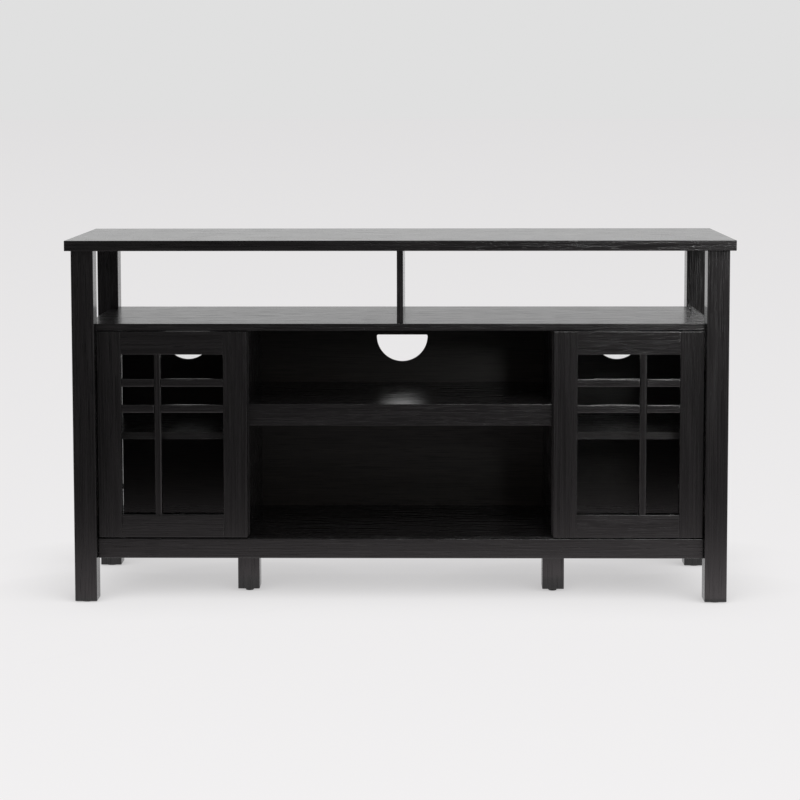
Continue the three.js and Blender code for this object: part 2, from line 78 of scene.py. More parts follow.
def add_node(tree, kind, inputs=None, **settings):
    """Adds a node. inputs maps a socket's name or number to a value or to a socket to link."""
    made = tree.nodes.new(kind)
    for key, value in settings.items():
        setattr(made, key, value)
    for key, value in (inputs or {}).items():
        if isinstance(value, bpy.types.NodeSocket):
            tree.links.new(value, made.inputs[key])
        else:
            made.inputs[key].default_value = value
    return made


def maths(tree, operation, first, second=0.0):
    made = add_node(tree, "ShaderNodeMath", {0: first, 1: second}, operation=operation)
    return made.outputs[0]


def scale_and_add(tree, value, factor, offset):
    inputs = {0: value, 1: factor, 2: offset}
    return add_node(tree, "ShaderNodeMath", inputs, operation="MULTIPLY_ADD").outputs[0]


def spread_about(tree, value, middle, spread):
    """Turns a value from 0 to 1 into one that varies by the spread about the middle."""
    return scale_and_add(tree, value, spread, middle - spread / 2)


def remap(tree, value, low, high, to_low=0.0, to_high=1.0):
    inputs = {"Value": value, "From Min": low, "From Max": high, "To Min": to_low,
              "To Max": to_high}
    return add_node(tree, "ShaderNodeMapRange", inputs).outputs["Result"]


def noise(tree, vector, scale, detail=2.0):
    """Noise on a vector stretched by three scales, in features to the metre."""
    stretched = add_node(tree, "ShaderNodeVectorMath", {0: vector, 1: scale}, operation="MULTIPLY")
    inputs = {"Vector": stretched.outputs[0], "Scale": 1.0, "Detail": detail,
              "Roughness": 0.5, "Distortion": 0.0}
    return add_node(tree, "ShaderNodeTexNoise", inputs).outputs["Fac"]


def blend_colours(tree, factor, first, second):
    made = add_node(tree, "ShaderNodeMix", {"Factor": factor}, data_type="RGBA")
    for key, value in ((6, first), (7, second)):
        if isinstance(value, bpy.types.NodeSocket):
            tree.links.new(value, made.inputs[key])
        else:
            made.inputs[key].default_value = (*value, 1.0)
    return made.outputs[2]


def shade_of(colour, factor):
    return tuple(factor * part for part in colour)


def bump_normal(tree, strength, distance, height):
    inputs = {"Strength": strength, "Distance": distance, "Height": height}
    return add_node(tree, "ShaderNodeBump", inputs).outputs["Normal"]


def output_shader(tree, shader):
    add_node(tree, "ShaderNodeOutputMaterial", {"Surface": shader})


def object_coordinates(tree):
    return add_node(tree, "ShaderNodeTexCoord").outputs["Object"]


# ---- Wood ------------------------------------------------------------------------------------

# Noise scales, in features to the metre along, across and through the grain.
DRIFT_SCALE = (1.8, 7.0, 7.0)
FIBRE_SCALE = (4.5, 430.0, 430.0)
RIDGE_SCALE = (10.0, 560.0, 560.0)
PORE_SCALE = (18.0, 900.0, 900.0)

# Growth rings: how many, how far they sway, and the part of their slope that shows.
RINGS_PER_METRE = 60.0
RING_SWAY = 9.0
RING_SLOPE = (0.1, 0.9)
RING_TONE = (0.5, 1.0)

# Where the noise turns into fibres, ridges and pores. Pores are commoner on dense rings.
FIBRE_SLOPE = (0.34, 0.66)
RIDGE_SLOPE = (0.58, 0.72)
PORE_LIMITS = (0.64, 0.56)
PORE_RIM = 0.05

RIDGE_TONE = 0.35
PORE_DARKENING = 0.8
PORE_SHADE = 0.35
FIBRE_ROUGHNESS = 0.05
PORE_ROUGHNESS = 0.16
FIBRE_HEIGHT = 0.3
RIDGE_HEIGHT = 0.7

# The lacquer has flowed flatter on faces that lie level: how level, and the relief left there.
LEVEL_FACING = (0.5, 0.95)
LEVEL_RELIEF = 0.12


def wood_material(name, colours, roughness, relief):
    """Open-grained wood under thin lacquer, between a dark and a light colour. The grain attribute
    holds a point's place in its own plank, as distances along, across and through the grain."""
    dark, light = colours
    material = new_material(name)
    tree = material.node_tree
    plank = add_node(tree, "ShaderNodeAttribute", attribute_name="grain").outputs["Vector"]

    # Growth rings: bands across the plank, bent into arches where the slow noise rises and falls.
    drift = noise(tree, plank, DRIFT_SCALE)
    across = add_node(tree, "ShaderNodeSeparateXYZ", {0: plank}).outputs["Y"]
    sway = maths(tree, "MULTIPLY", drift, RING_SWAY)
    bands = scale_and_add(tree, across, RINGS_PER_METRE, sway)
    rings = remap(tree, maths(tree, "PINGPONG", bands, 1.0), *RING_SLOPE)

    fibres = remap(tree, noise(tree, plank, FIBRE_SCALE, detail=1.5), *FIBRE_SLOPE)
    ridges = remap(tree, noise(tree, plank, RIDGE_SCALE, detail=0.0), *RIDGE_SLOPE)
    pore_limit = remap(tree, rings, 0.0, 1.0, *PORE_LIMITS)
    pores = maths(tree, "SUBTRACT", noise(tree, plank, PORE_SCALE, detail=0.0), pore_limit)
    pores = remap(tree, pores, 0.0, PORE_RIM)

    tone = maths(tree, "MULTIPLY", fibres, remap(tree, rings, 0.0, 1.0, *RING_TONE))
    tone = maths(tree, "ADD", tone, maths(tree, "MULTIPLY", ridges, RIDGE_TONE))
    colour = blend_colours(tree, tone, dark, light)
    colour = blend_colours(tree, maths(tree, "MULTIPLY", pores, PORE_DARKENING), colour,
                           shade_of(dark, PORE_SHADE))

    rough = scale_and_add(tree, fibres, FIBRE_ROUGHNESS, roughness)
    rough = maths(tree, "ADD", rough, maths(tree, "MULTIPLY", pores, PORE_ROUGHNESS))

    height = maths(tree, "MULTIPLY", fibres, FIBRE_HEIGHT)
    height = maths(tree, "ADD", height, maths(tree, "MULTIPLY", ridges, RIDGE_HEIGHT))
    height = maths(tree, "SUBTRACT", height, pores)
    facing = add_node(tree, "ShaderNodeTexCoord").outputs["Normal"]
    level = add_node(tree, "ShaderNodeSeparateXYZ", {0: facing}).outputs["Z"]
    level = maths(tree, "ABSOLUTE", level)
    flow = remap(tree, level, *LEVEL_FACING, 1.0, LEVEL_RELIEF)
    height = maths(tree, "MULTIPLY", height, flow)

    shader = add_node(tree, "ShaderNodeBsdfPrincipled", {
        "Base Color": colour, "Roughness": rough,
        "Normal": bump_normal(tree, 1.0, relief, height), "Specular IOR Level": 0.5})
    output_shader(tree, shader.outputs[0])
    return material


BLACK_LACQUER = ((0.0092, 0.0085, 0.0087), (0.0162, 0.015, 0.0154))
# Painted light: the side shelves behind the glass get a lighter, greyer lacquer in place of the
# lamplight the glass holds back.
LACQUER_LIGHTENED_AS_PAINTED_LIGHT = ((0.03, 0.028, 0.0285), (0.05, 0.047, 0.048))
BROWN_BLACK = ((0.0092, 0.0072, 0.006), (0.02, 0.0157, 0.0134))

BLACK_WOOD = wood_material("black_wood", BLACK_LACQUER, roughness=0.13, relief=0.07 * MM)
SHELF_WOOD = wood_material("shelf_wood", BLACK_LACQUER, roughness=0.19, relief=0.1 * MM)
SIDE_SHELF_PAINTED_LIGHT_WOOD = wood_material("side_shelf_wood_painted_light", LACQUER_LIGHTENED_AS_PAINTED_LIGHT, roughness=0.2, relief=0.1 * MM)
BACK_BOARD = wood_material("back_board", BROWN_BLACK, roughness=0.42, relief=0.05 * MM)


# ---- Glass, metal and plastic ----------------------------------------------------------------

GLASS_COLOUR = (0.97, 0.98, 0.975, 1.0)
GLASS_IOR = 1.5
GLASS_RIPPLES = (14.0, 14.0, 9.0)
LAMPLIGHT_THROUGH_GLASS = (0.76, 0.77, 0.765, 1.0)

METAL_MOTTLE = (160.0, 160.0, 160.0)
METAL_DARKEST = 0.82
METAL_ROUGHNESS_SPREAD = 0.16

PLASTIC_CLOUDS = (90.0, 90.0, 90.0)
PLASTIC_SHADES = (0.8, 1.2)
PLASTIC_ROUGHNESS_SPREAD = 0.12


def glass_material():
    """Clear glass for sight, which lets lamps through so that the shelves behind it are lit."""
    material = new_material("clear_glass")
    tree = material.node_tree
    ripple = noise(tree, object_coordinates(tree), GLASS_RIPPLES, detail=1.0)
    pane = add_node(tree, "ShaderNodeBsdfPrincipled", {
        "Base Color": GLASS_COLOUR, "Roughness": 0.0, "IOR": GLASS_IOR,
        "Transmission Weight": 1.0, "Normal": bump_normal(tree, 0.2, 0.3 * MM, ripple)})
    clear = add_node(tree, "ShaderNodeBsdfTransparent", {"Color": LAMPLIGHT_THROUGH_GLASS})
    path = add_node(tree, "ShaderNodeLightPath")
    both = add_node(tree, "ShaderNodeMixShader", {
        0: path.outputs["Is Shadow Ray"], 1: pane.outputs[0], 2: clear.outputs[0]})
    output_shader(tree, both.outputs[0])
    return material


def metal_material(name, colour, roughness, brushing):
    """Plated steel with fine brushing and a mottled plating tone."""
    material = new_material(name)
    tree = material.node_tree
    place = object_coordinates(tree)
    mottle = noise(tree, place, METAL_MOTTLE, detail=3.0)
    brushed = noise(tree, place, brushing)
    shader = add_node(tree, "ShaderNodeBsdfPrincipled", {
        "Base Color": blend_colours(tree, mottle, shade_of(colour, METAL_DARKEST), colour),
        "Roughness": spread_about(tree, mottle, roughness, METAL_ROUGHNESS_SPREAD),
        "Metallic": 1.0, "Normal": bump_normal(tree, 0.5, 0.02 * MM, brushed)})
    output_shader(tree, shader.outputs[0])
    return material


def plastic_material(name, colour, roughness, grain_size):
    """Moulded plastic with an even spark-eroded texture."""
    material = new_material(name)
    tree = material.node_tree
    place = object_coordinates(tree)
    grain = noise(tree, place, [1.0 / grain_size] * 3)
    clouds = noise(tree, place, PLASTIC_CLOUDS)
    dark, light = (shade_of(colour, factor) for factor in PLASTIC_SHADES)
    shader = add_node(tree, "ShaderNodeBsdfPrincipled", {
        "Base Color": blend_colours(tree, clouds, dark, light),
        "Roughness": spread_about(tree, grain, roughness, PLASTIC_ROUGHNESS_SPREAD),
        "Normal": bump_normal(tree, 0.4, 0.05 * MM, grain)})
    output_shader(tree, shader.outputs[0])
    return material


GLASS = glass_material()
NICKEL = metal_material("nickel_plate", (0.66, 0.64, 0.6), roughness=0.3,
                        brushing=(300.0, 300.0, 3000.0))
ZINC = metal_material("zinc_plate", (0.6, 0.61, 0.62), roughness=0.38,
                      brushing=(900.0, 900.0, 900.0))
PLASTIC = plastic_material("moulded_black", (0.016, 0.016, 0.016), roughness=0.5,
                           grain_size=0.5 * MM)
BUMPER = plastic_material("soft_bumper", (0.05, 0.05, 0.048), roughness=0.6,
                          grain_size=0.8 * MM)


# ---- Mesh helpers ----------------------------------------------------------------------------

def cad_solid(node):
    """A welded copy of a CAD node's mesh, with its flat faces whole again."""
    solid = bmesh.new()
    solid.from_mesh(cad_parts[node].data)
    bmesh.ops.remove_doubles(solid, verts=solid.verts, dist=WELD_DISTANCE)
    bmesh.ops.dissolve_limit(solid, angle_limit=FLAT, verts=solid.verts, edges=solid.edges)
    return solid


def box_solid(low, high):
    centre = (Vector(low) + Vector(high)) / 2
    size = Vector(high) - Vector(low)
    place = Matrix.Translation(centre) @ Matrix.Diagonal((*size, 1.0))
    solid = bmesh.new()
    bmesh.ops.create_cube(solid, size=1.0, matrix=place)
    return solid


def ease_edges(solid, radius, chosen=lambda edge: True, segments=3):
    """Rounds the chosen outside corners of a solid."""
    edges = [edge for edge in solid.edges
             if edge.is_manifold and edge.is_convex and edge.calc_face_angle() > SHARP
             and chosen(edge)]
    bmesh.ops.bevel(solid, geom=edges, offset=radius, offset_type="OFFSET", segments=segments,
                    profile=0.5, affect="EDGES", clamp_overlap=True)


def eased_box(low, high, radius, segments=3):
    solid = box_solid(low, high)
    ease_edges(solid, radius, segments=segments)
    return solid


def absorb(solid, other):
    """Adds another solid's bodies to this one and frees it."""
    mesh = bpy.data.meshes.new("absorbed")
    other.to_mesh(mesh)
    other.free()
    solid.from_mesh(mesh)
    bpy.data.meshes.remove(mesh)


def carve(solid, cutter):
    """The solid less the cutter, by an exact boolean."""
    holders = []
    for name, part in (("carved", solid), ("cutter", cutter)):
        mesh = bpy.data.meshes.new(name)
        part.to_mesh(mesh)
        part.free()
        holder = bpy.data.objects.new(name, mesh)
        bpy.context.scene.collection.objects.link(holder)
        holders.append(holder)
    boolean = holders[0].modifiers.new("cut", "BOOLEAN")
    boolean.operation = "DIFFERENCE"
    boolean.solver = "EXACT"
    boolean.object = holders[1]
    bpy.context.view_layer.update()
    done = holders[0].evaluated_get(bpy.context.evaluated_depsgraph_get())
    result = bmesh.new()
    result.from_mesh(done.to_mesh())
    done.to_mesh_clear()
    for holder in holders:
        mesh = holder.data
        bpy.data.objects.remove(holder)
        bpy.data.meshes.remove(mesh)
    return result


def stand_on(solid, axis, centre):
    """Turns a solid that was made pointing up towards the axis, and moves it to the centre."""
    turn = Vector(UP).rotation_difference(Vector(axis)).to_matrix().to_4x4()
    bmesh.ops.transform(solid, matrix=Matrix.Translation(centre) @ turn, verts=solid.verts)
    return solid


def lathe_solid(profile, axis, centre, segments):
    """A turned solid. profile holds (radius, height) pairs that start and end on the axis, and
    axis is the direction of height."""
    solid = bmesh.new()
    rings = []
    for radius, height in profile:
        if radius < ON_AXIS:
            rings.append([solid.verts.new((0, 0, height))])
            continue
        rings.append([solid.verts.new((radius * math.cos(turn), radius * math.sin(turn), height))
                      for turn in (2 * math.pi * i / segments for i in range(segments))])
    for lower, upper in zip(rings, rings[1:]):
        for i in range(segments):
            j = (i + 1) % segments
            loop = [lower[i % len(lower)], lower[j % len(lower)],
                    upper[j % len(upper)], upper[i % len(upper)]]
            solid.faces.new(list(dict.fromkeys(loop)))
    bmesh.ops.recalc_face_normals(solid, faces=solid.faces)
    return stand_on(solid, axis, centre)


def set_grain(mesh, along, across):
    """Writes each point's place in its plank, moved by a random amount so that no two match."""
    through = 3 - along - across
    start = [random.uniform(0.0, GRAIN_START_RANGE) for _ in range(3)]
    grain = mesh.attributes.new("grain", "FLOAT_VECTOR", "POINT")
    values = []
    for vertex in mesh.vertices:
        place = vertex.co
        values += [start[0] + place[along], start[1] + place[across], start[2] + place[through]]
    grain.data.foreach_set("vector", values)


def weigh_normals(piece, keep_sharp):
    normals = piece.modifiers.new("flat_faces", "WEIGHTED_NORMAL")
    normals.keep_sharp = keep_sharp
    normals.weight = FULL_AREA_WEIGHT


def make_piece(name, solid, body, material, nodes=(), grain=None):
    """Turns a solid into a shown piece that rides on a body and stands for CAD nodes."""
    for face in solid.faces:
        face.smooth = True
    for edge in solid.edges:
        edge.smooth = not (edge.is_manifold and edge.calc_face_angle() > STAYS_SHARP)
    mesh = bpy.data.meshes.new(name)
    solid.to_mesh(mesh)
    solid.free()
    if grain:
        set_grain(mesh, *grain)
    piece = bpy.data.objects.new(name, mesh)
    bpy.context.scene.collection.objects.link(piece)
    mesh.materials.append(material)
    weigh_normals(piece, keep_sharp=True)
    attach(piece, body)
    if nodes:
        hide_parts(*nodes)


def dress_cad(node, material, radius):
    """Gives a CAD node its finish, and rounds its edges without changing its mesh."""
    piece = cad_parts[node]
    piece.data.materials.clear()
    piece.data.materials.append(material)
    weld = piece.modifiers.new("weld", "WELD")
    weld.merge_threshold = WELD_DISTANCE
    bevel = piece.modifiers.new("eased_edges", "BEVEL")
    bevel.width = radius
    bevel.segments = 2
    bevel.limit_method = "ANGLE"
    bevel.angle_limit = SHARP
    bevel.harden_normals = False
    weigh_normals(piece, keep_sharp=False)


# ---- Carcass ---------------------------------------------------------------------------------

def wood_board(node, along, across, radius, wood=BLACK_WOOD):
    """A plain board, the size of its CAD node, with eased edges and its own grain."""
    solid = eased_box(*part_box(node), radius)
    make_piece(f"{node}_board", solid, "cabinet", wood, [node], (along, across))


def make_carcass():
    wood_board("top_panel", X, Y, radius=1.1 * MM)
    wood_board("bay_divider", Z, Y, radius=0.8 * MM)
    wood_board("bottom_panel", X, Y, radius=0.6 * MM)
    wood_board("front_rail", X, Z, radius=1.8 * MM)
    wood_board("centre_shelf", X, Y, radius=0.6 * MM)
    wood_board("centre_shelf_rail", X, Z, radius=1.0 * MM)
    for side in SIDES:
        wood_board(f"leg_front_{side}", Z, X, radius=1.3 * MM)
        wood_board(f"leg_back_{side}", Z, X, radius=1.3 * MM)
        wood_board(f"side_panel_{side}", Z, Y, radius=0.6 * MM)
        wood_board(f"partition_{side}", Z, Y, radius=0.8 * MM)
        wood_board(f"side_shelf_{side}", X, Y, radius=1.6 * MM, wood=SIDE_SHELF_PAINTED_LIGHT_WOOD)
    make_display_shelf()
    make_back_panels()


def make_display_shelf():
    solid = cad_solid("display_shelf")
    ease_edges(solid, radius=0.9 * MM)
    make_piece("display_shelf_board", solid, "cabinet", SHELF_WOOD,
               ["display_shelf"], (X, Y))


def make_back_panels():
    for bay in BAYS:
        node = f"back_panel_{bay}"
        solid = cad_solid(node)
        ease_edges(solid, radius=0.3 * MM, segments=2)
        make_piece(f"{node}_board", solid, "cabinet", BACK_BOARD, [node], (X, Z))


# ---- Middle supports -------------------------------------------------------------------------

def make_supports():
    shortest_post_edge = 20 * MM

    def outside(edge):
        """True for the post's own edges, and false for the rim of the stud's hole."""
        return edge.calc_length() > shortest_post_edge

    for side in SIDES:
        node = f"support_leg_{side}"
        solid = cad_solid(node)
        ease_edges(solid, radius=1.2 * MM, chosen=outside)
        make_piece(f"{node}_post", solid, "cabinet", BLACK_WOOD, [node], (Z, X))
        make_stud(side)
        dress_cad(f"leveller_pad_{side}", PLASTIC, radius=0.25 * MM)


def make_stud(side):
    """The leveller's threaded stud: a 1.25 mm pitch thread between two chamfered ends."""
    node = f"leveller_stud_{side}"
    low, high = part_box(node)
    centre = (low + high) / 2
    major = (high.x - low.x) / 2
    pitch = 1.25 * MM
    depth = 0.65 * MM
    chamfer = 1.2 * MM
    around = 32
    rows_per_turn = 8
    rows = round((high.z - low.z) / pitch * rows_per_turn)
    solid = bmesh.new()
    rings = []
    for row in range(rows + 1):
        height = low.z + (high.z - low.z) * row / rows
        from_end = min(height - low.z, high.z - height)
        crest = min(major, major - chamfer + from_end)
        ring = []
        for i in range(around):
            share = ((height - low.z) / pitch - i / around) % 1.0
            flank = abs(2 * share - 1)
            radius = min(crest, major - depth * (1 - flank))
            turn = 2 * math.pi * i / around
            ring.append(solid.verts.new((centre.x + radius * math.cos(turn),
                                         centre.y + radius * math.sin(turn), height)))
        rings.append(ring)
    for lower, upper in zip(rings, rings[1:]):
        for i in range(around):
            j = (i + 1) % around
            solid.faces.new((lower[i], lower[j], upper[j], upper[i]))
    solid.faces.new(list(reversed(rings[0])))
    solid.faces.new(rings[-1])
    make_piece(f"{node}_thread", solid, node, ZINC, [node])


# ---- Doors -----------------------------------------------------------------------------------

FRAME_PARTS = ("hinge_stile", "free_stile", "lower_rail", "upper_rail")


def make_doors():
    for side in SIDES:
        body = f"{side}_door"
        make_door_frame(side, body)
        make_mullion(side, body)
        for level in LEVELS:
            make_muntin(side, level, body)
        dress_cad(f"{side}_door_glass", GLASS, radius=0.4 * MM)
        dress_cad(f"{side}_door_strike_plate", NICKEL, radius=0.3 * MM)
        for level in LEVELS:
            dress_cad(f"{side}_door_hinge_cup_{level}", NICKEL, radius=0.2 * MM)


def make_door_frame(side, body):
    """Two stiles and two rails. Their outside corners are eased, and the joints stay tight."""
    lows, highs = zip(*(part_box(f"{side}_door_{part}") for part in FRAME_PARTS))
    door_low = Vector(map(min, *lows))
    door_high = Vector(map(max, *highs))
    close = 0.2 * MM
    shortest_rim_edge = 8 * MM

    def both_ends_at(edge, axis, *levels):
        return all(min(abs(v.co[axis] - level) for level in levels) < close for v in edge.verts)

    def on_rim(edge):
        """True for edges round the door, and false for those inside a joint or a pocket."""
        first, second = (v.co for v in edge.verts)
        square = sum(abs(first[axis] - second[axis]) < close for axis in (X, Y, Z)) == 2
        return square and edge.calc_length() > shortest_rim_edge

    def on_face(edge):
        return on_rim(edge) and (both_ends_at(edge, Y, door_low.y)
                                 or both_ends_at(edge, Y, door_high.y))

    def on_face_or_end(edge):
        return on_face(edge) or (on_rim(edge) and both_ends_at(edge, Z, door_low.z, door_high.z))

    for part in FRAME_PARTS:
        node = f"{side}_door_{part}"
        is_rail = part.endswith("rail")
        solid = cad_solid(node)
        ease_edges(solid, radius=1.3 * MM, chosen=on_face if is_rail else on_face_or_end)
        grain = (X, Z) if is_rail else (Z, X)
        make_piece(f"{node}_board", solid, body, BLACK_WOOD, [node], grain)


def make_mullion(side, body):
    node = f"{side}_door_mullion"
    low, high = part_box(node)
    shortest_upright = 0.6 * (high.z - low.z)

    def upright(edge):
        return abs(edge.verts[0].co.z - edge.verts[1].co.z) > shortest_upright

    solid = cad_solid(node)
    ease_edges(solid, radius=1.4 * MM, chosen=upright)
    make_piece(f"{node}_bar", solid, body, BLACK_WOOD, [node], (Z, X))


def make_muntin(side, level, body):
    """A bar of two lengths with rounded front edges, joined behind the mullion by its half-lap."""
    node = f"{side}_door_{level}_muntin"
    low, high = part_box(node)
    bar_low, bar_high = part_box(f"{side}_door_mullion")
    lap_gap = 0.15 * MM
    close = 0.05 * MM
    lap_front = (low.y + high.y) / 2 + lap_gap

    def on_front(edge):
        return all(abs(v.co.y - low.y) < close for v in edge.verts)

    whole = bmesh.new()
    for x0, x1 in ((low.x, bar_low.x), (bar_high.x, high.x)):
        length = box_solid((x0, low.y, low.z), (x1, high.y, high.z))
        ease_edges(length, radius=2.6 * MM, chosen=on_front, segments=5)
        absorb(whole, length)
    absorb(whole, box_solid((bar_low.x, lap_front, low.z), (bar_high.x, high.y, high.z)))
    make_piece(f"{node}_bar", whole, body, BLACK_WOOD, [node], (X, Z))


# ---- Screws ----------------------------------------------------------------------------------

# A pan head, as shares of its radius and its height, and the cross recess in it.
PAN_PROFILE = ((0, 0), (1, 0), (1, 0.35), (0.9, 0.72), (0.72, 0.95), (0, 1))
HEAD_HEIGHT = 0.5
RECESS_DEPTH = 0.62
RECESS_ARM = 0.62
RECESS_HALF_WIDTH = 0.16


def screw_head(centre, axis, radius, turn):
    """A pan head with a cross recess, standing on a surface with its top towards axis."""
    height = HEAD_HEIGHT * radius
    recess = RECESS_DEPTH * height
    arm = RECESS_ARM * radius
    slot = RECESS_HALF_WIDTH * radius
    profile = [(out * radius, up * height) for out, up in PAN_PROFILE]
    head = lathe_solid(profile, UP, (0, 0, 0), segments=24)
    for spin in (turn, turn + math.pi / 2):
        bar = box_solid((-arm, -slot, height - recess), (arm, slot, height + recess))
        bmesh.ops.rotate(bar, verts=bar.verts, matrix=Matrix.Rotation(spin, 3, "Z"))
        head = carve(head, bar)
    return stand_on(head, axis, centre)


def screw_row(name, places, axis, radius, body, material=NICKEL):
    """A piece of equal screws, each turned its own way."""
    heads = bmesh.new()
    for place in places:
        absorb(heads, screw_head(place, axis, radius, turn=random.uniform(0, math.pi)))
    make_piece(name, heads, body, material)


def make_hinge_screws():
    """Two screws through each cup's ears, and two through each arm's plate."""
    ear_offset = 24.5 * MM
    plate_offset = 15 * MM
    plate_thickness = 2.5 * MM
    from_arm_back = 22 * MM
    for side, sign in SIDES.items():
        ears = []
        plates = []
        for level in LEVELS:
            low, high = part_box(f"{side}_door_hinge_cup_{level}")
            centre = (low + high) / 2
            ears += [(centre.x, high.y, centre.z + way * ear_offset) for way in BOTH_WAYS]
            low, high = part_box(f"hinge_arm_{side}_{level}")
            face = (high.x if sign > 0 else low.x) - sign * plate_thickness
            middle = (low.z + high.z) / 2
            plates += [(face, high.y - from_arm_back, middle + way * plate_offset)
                       for way in BOTH_WAYS]
            dress_cad(f"hinge_arm_{side}_{level}", NICKEL, radius=0.4 * MM)
        screw_row(f"{side}_door_hinge_cup_screws", ears, BACK, 3.2 * MM, f"{side}_door")
        screw_row(f"hinge_plate_screws_{side}", plates, (-sign, 0, 0), 3.4 * MM, "cabinet")


def make_strike_screws(side):
    low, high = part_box(f"{side}_door_strike_plate")
    centre = (low + high) / 2
    offset = 11.5 * MM
    sunk = 0.6 * MM
    places = [(centre.x, high.y - sunk, centre.z + way * offset) for way in BOTH_WAYS]
    screw_row(f"{side}_door_strike_screws", places, BACK, 2.2 * MM, f"{side}_door")


# ---- Catches, clips and small fittings -------------------------------------------------------

def make_catch(side, sign):
    """A magnetic catch: an eased housing, two steel poles that reach the strike plate, and two
    screws into the partition through its ears."""
    node = f"magnetic_catch_{side}"
    low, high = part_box(node)
    inner, outer = (low.x, high.x) if sign > 0 else (high.x, low.x)
    pole_reach = 1.0 * MM
    waist = 9 * MM
    housing = eased_box((low.x, low.y + pole_reach, low.z + waist),
                        (high.x, high.y, high.z - waist), radius=1.4 * MM)

    ear_thickness = 3.5 * MM
    ear_front = 6 * MM
    ear_back = 8 * MM
    ear_face = inner + sign * ear_thickness
    absorb(housing, eased_box((min(inner, ear_face), low.y + ear_front, low.z),
                              (max(inner, ear_face), high.y - ear_back, high.z),
                              radius=1.2 * MM))
    make_piece(f"{node}_housing", housing, "cabinet", PLASTIC, [node])

    pole_offset = 4 * MM
    pole_half_thickness = 0.8 * MM
    pole_depth = 4 * MM
    pole_margin = 3 * MM
    poles = bmesh.new()
    for way in BOTH_WAYS:
        x = (inner + outer) / 2 + way * pole_offset
        absorb(poles, eased_box(
            (x - pole_half_thickness, low.y, low.z + waist + pole_margin),
            (x + pole_half_thickness, low.y + pole_depth, high.z - waist - pole_margin),
            radius=0.3 * MM, segments=2))
    make_piece(f"{node}_poles", poles, "cabinet", ZINC)

    screw_margin = 4.5 * MM
    centre_y = (low.y + high.y) / 2
    places = [(ear_face, centre_y, z) for z in (low.z + screw_margin, high.z - screw_margin)]
    screw_row(f"{node}_screws", places, (sign, 0, 0), 3.0 * MM, "cabinet")


def clip_block(spot, way, reach, half_width, depth):
    """One block of a glass clip at a spot on the pane's edge. reach is its span along way, which
    points from the pane to the frame, and depth is its span in Y."""
    ends = []
    for step, side in zip(reach, BOTH_WAYS):
        ends.append([spot[i] + way[i] * step + side * abs(way[1 - i]) * half_width
                     for i in range(2)])
    low = [min(pair) for pair in zip(*ends)]
    high = [max(pair) for pair in zip(*ends)]
    return eased_box((low[0], depth[0], low[1]), (high[0], depth[1], high[1]), radius=0.5 * MM,
                     segments=2)


def make_glass_clips(side):
    """Moulded clips with a raised rib, each with a screw, that hold the pane in its rebate."""
    low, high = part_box(f"{side}_door_glass")
    door_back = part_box(f"{side}_door_lower_rail")[1].y
    inset = 2.0 * MM
    from_corner = 60 * MM
    bar_reach, bar_half_width = (-4.5 * MM, 13 * MM), 5 * MM
    rib_reach, rib_half_width = (-4.5 * MM, -0.5 * MM), 4 * MM
    bar_depth = (door_back, door_back + 1.5 * MM)
    rib_depth = (high.y + 0.1 * MM, door_back + 0.6 * MM)
    screw_reach = 8 * MM
    screw_seat = door_back + 1.4 * MM

    heights = (low.z + from_corner, high.z - from_corner)
    middle = (low.x + high.x) / 2
    spots = [((low.x + inset, z), (-1, 0)) for z in heights]
    spots += [((high.x - inset, z), (1, 0)) for z in heights]
    spots += [((middle, low.z + inset), (0, -1)), ((middle, high.z - inset), (0, 1))]

    clips = bmesh.new()
    places = []
    for spot, way in spots:
        absorb(clips, clip_block(spot, way, bar_reach, bar_half_width, bar_depth))
        absorb(clips, clip_block(spot, way, rib_reach, rib_half_width, rib_depth))
        places.append((spot[0] + way[0] * screw_reach, screw_seat, spot[1] + way[1] * screw_reach))
    make_piece(f"{side}_door_glass_clips", clips, f"{side}_door", PLASTIC)
    screw_row(f"{side}_door_clip_screws", places, BACK, 2.4 * MM, f"{side}_door",
              ZINC)


def make_bumpers(side):
    """Two soft dots on the back of the door's free stile, which meet the partition's edge."""
    low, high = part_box(f"{side}_door_free_stile")
    part_low, part_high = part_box(f"partition_{side}")
    x = (part_low.x + part_high.x) / 2
    above_bottom = 24 * MM
    below_top = 14 * MM
    profile = [(0, 0), (4.0 * MM, 0), (4.0 * MM, 0.5 * MM), (3.6 * MM, 1.1 * MM),
               (2.6 * MM, 1.5 * MM), (1.2 * MM, 1.65 * MM), (0, 1.7 * MM)]
    dots = bmesh.new()
    for z in (low.z + above_bottom, high.z - below_top):
        absorb(dots, lathe_solid(profile, BACK, (x, high.y, z), segments=28))
    make_piece(f"{side}_door_bumpers", dots, f"{side}_door", BUMPER)


def make_shelf_pins(side):
    """Four grooved steel pins under the shelf, two in each wall of the bay."""
    low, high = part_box(f"side_shelf_{side}")
    wall_gap = 0.5 * MM
    from_edge = 32 * MM
    radius = 2.5 * MM
    profile = [(0, -6 * MM), (radius, -6 * MM), (radius, 1.2 * MM), (2.1 * MM, 1.6 * MM),
               (2.1 * MM, 2.2 * MM), (radius, 2.6 * MM), (radius, 8.0 * MM),
               (2.0 * MM, 8.8 * MM), (0, 9.0 * MM)]
    pins = bmesh.new()
    for wall, way in ((low.x - wall_gap, 1), (high.x + wall_gap, -1)):
        for y in (low.y + from_edge, high.y - from_edge):
            place = (wall, y, low.z - radius)
            absorb(pins, lathe_solid(profile, (way, 0, 0), place, segments=24))
    make_piece(f"side_shelf_pins_{side}", pins, "cabinet", NICKEL)


